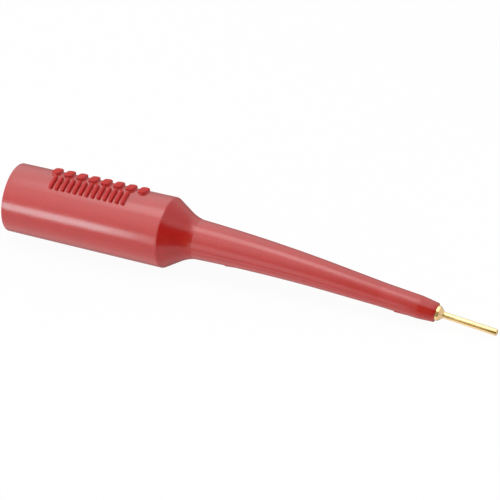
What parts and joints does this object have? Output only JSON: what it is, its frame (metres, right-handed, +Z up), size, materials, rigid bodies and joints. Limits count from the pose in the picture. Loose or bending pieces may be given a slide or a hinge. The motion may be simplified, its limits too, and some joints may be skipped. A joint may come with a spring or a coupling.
{
  "type": "banana plug adapter",
  "caption": "Slim red moulded test adapter with a shrouded 4 mm banana jack at one end and a thin gold-plated round pin at the other, joined inside by a short wire.",
  "frame": {"origin": "centre of the jack sleeve's front face, where the plug enters", "axes": "+X along the barrel from the jack to the pin, +Z up from the barrel's axis to the raised marks, +Y across; the nose droops towards -Z"},
  "size_m": [0.0799, 0.0112, 0.0116],
  "materials": {
    "red_moulding": "satin moulded PVC with a fine mottle",
    "nickel_plate": "nickel plate over turned brass",
    "solder": "smooth tin solder",
    "tinned_copper": "tinned copper strands",
    "wire_insulation": "extruded insulation",
    "gold_plate": "bright gold plate over turned brass"
  },
  "bodies": {
    "root": {"body_moulding": "red_moulding", "jack_sleeve": "nickel_plate", "jack_terminal": "nickel_plate", "jack_solder": "solder", "wire_strands": "tinned_copper", "wire_jacket": "wire_insulation", "pin_solder": "solder", "pin_contact": "gold_plate"}
  },
  "joints": []
}
